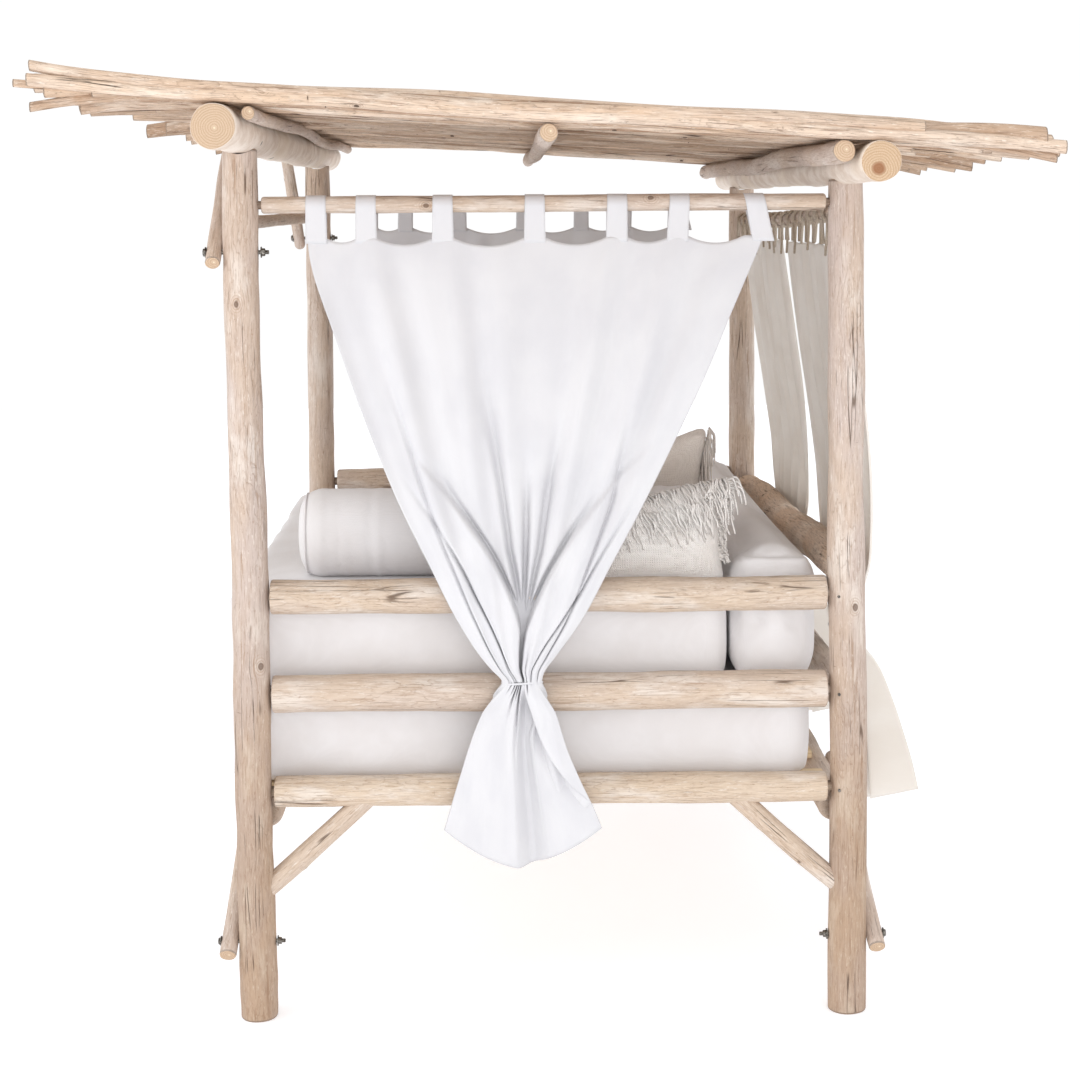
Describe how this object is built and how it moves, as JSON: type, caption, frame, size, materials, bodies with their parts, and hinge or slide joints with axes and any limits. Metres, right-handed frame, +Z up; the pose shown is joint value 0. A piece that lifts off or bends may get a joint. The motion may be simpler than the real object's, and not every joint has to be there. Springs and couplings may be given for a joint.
{
  "type": "outdoor daybed with canopy",
  "caption": "Rustic outdoor daybed of peeled branches with a sloping stick roof, tied curtains, stacked mattresses, a back cushion, a bolster and pillows.",
  "frame": {"origin": "on the floor under the middle of the roof's outline", "axes": "+Z up, -Y the open front, +Y the back, +X the end with the bolster"},
  "size_m": [2.95, 2.2, 2.2379],
  "materials": {
    "peeled_wood": "peeled, pale and unvarnished",
    "grey_bark": "smooth grey bark",
    "roof_sticks": "rough peeled sticks",
    "slat_wood": "sawn and unvarnished",
    "bolt_steel": "dull",
    "canvas": "matt off-white canvas",
    "voile": "matt white cotton",
    "woven_cotton": "coarse woven off-white cotton"
  },
  "bodies": {
    "frame": {"right_end_lower_rail": "peeled_wood", "right_end_middle_rail": "peeled_wood", "right_end_top_rail": "peeled_wood", "right_end_curtain_rod": "peeled_wood", "left_end_lower_rail": "peeled_wood", "left_end_middle_rail": "peeled_wood", "left_end_top_rail": "peeled_wood", "left_end_curtain_rod": "peeled_wood", "front_long_rail": "peeled_wood", "back_long_rail": "peeled_wood", "back_middle_rail": "peeled_wood", "back_top_rail": "peeled_wood", "front_curtain_rod": "peeled_wood", "back_curtain_rod": "peeled_wood", "front_right_end_brace": "peeled_wood", "front_right_low_brace": "peeled_wood", "front_right_low_brace_bolt": "bolt_steel", "front_right_knee_brace": "peeled_wood", "front_right_knee_brace_bolt": "bolt_steel", "front_right_post": "peeled_wood", "back_right_end_brace": "peeled_wood", "back_right_low_brace": "peeled_wood", "back_right_low_brace_bolt": "bolt_steel", "back_right_post": "peeled_wood", "front_left_end_brace": "peeled_wood", "front_left_low_brace": "peeled_wood", "front_left_low_brace_bolt": "bolt_steel", "front_left_knee_brace": "peeled_wood", "front_left_knee_brace_bolt": "bolt_steel", "front_left_post": "peeled_wood", "back_left_end_brace": "peeled_wood", "back_left_low_brace": "peeled_wood", "back_left_low_brace_bolt": "bolt_steel", "back_left_post": "peeled_wood", "front_beam": "grey_bark", "back_beam": "grey_bark", "roof_panel_1": "roof_sticks", "roof_panel_2": "roof_sticks", "roof_panel_3": "roof_sticks", "roof_panel_4": "roof_sticks", "roof_panel_5": "roof_sticks", "front_roof_pole": "peeled_wood", "middle_roof_pole": "peeled_wood", "back_roof_pole": "peeled_wood", "slatted_base": "slat_wood"},
    "lower_mattress": {"lower_mattress": "canvas"},
    "upper_mattress": {"upper_mattress": "canvas"},
    "back_cushion": {"back_cushion": "canvas"},
    "bolster": {"bolster": "canvas"},
    "fringed_pillow": {"fringed_pillow": "woven_cotton"},
    "square_pillow": {"square_pillow": "woven_cotton"},
    "right_end_curtain": {"right_end_curtain": "voile", "right_end_curtain_tie": "voile"},
    "left_end_curtain": {"left_end_curtain": "voile", "left_end_curtain_tie": "voile"},
    "back_right_curtain": {"back_right_curtain": "voile", "back_right_curtain_tie": "voile"},
    "back_left_curtain": {"back_left_curtain": "voile", "back_left_curtain_tie": "voile"}
  },
  "joints": [
    {"name": "lower_mattress_lift", "type": "slide", "parent": "frame", "child": "lower_mattress", "axis": [0, 0, 1], "range_m": [0, 0.1]},
    {"name": "upper_mattress_lift", "type": "slide", "parent": "lower_mattress", "child": "upper_mattress", "axis": [0, 0, 1], "range_m": [0, 0.12]},
    {"name": "back_cushion_lift", "type": "slide", "parent": "lower_mattress", "child": "back_cushion", "axis": [0, 0, 1], "range_m": [0, 0.15]},
    {"name": "bolster_lift", "type": "slide", "parent": "upper_mattress", "child": "bolster", "axis": [0, 0, 1], "range_m": [0, 0.2]},
    {"name": "fringed_pillow_lift", "type": "slide", "parent": "upper_mattress", "child": "fringed_pillow", "axis": [0, 0, 1], "range_m": [0, 0.2]},
    {"name": "square_pillow_lift", "type": "slide", "parent": "upper_mattress", "child": "square_pillow", "axis": [0, 0, 1], "range_m": [0, 0.2]},
    {"name": "right_end_curtain_slide", "type": "slide", "parent": "frame", "child": "right_end_curtain", "axis": [0, 1, 0], "range_m": [-0.08, 0.12]},
    {"name": "left_end_curtain_slide", "type": "slide", "parent": "frame", "child": "left_end_curtain", "axis": [0, 1, 0], "range_m": [-0.08, 0.12]},
    {"name": "back_right_curtain_slide", "type": "slide", "parent": "frame", "child": "back_right_curtain", "axis": [1, 0, 0], "range_m": [-0.04, 0.02]},
    {"name": "back_left_curtain_slide", "type": "slide", "parent": "frame", "child": "back_left_curtain", "axis": [-1, 0, 0], "range_m": [-0.04, 0.02]}
  ]
}
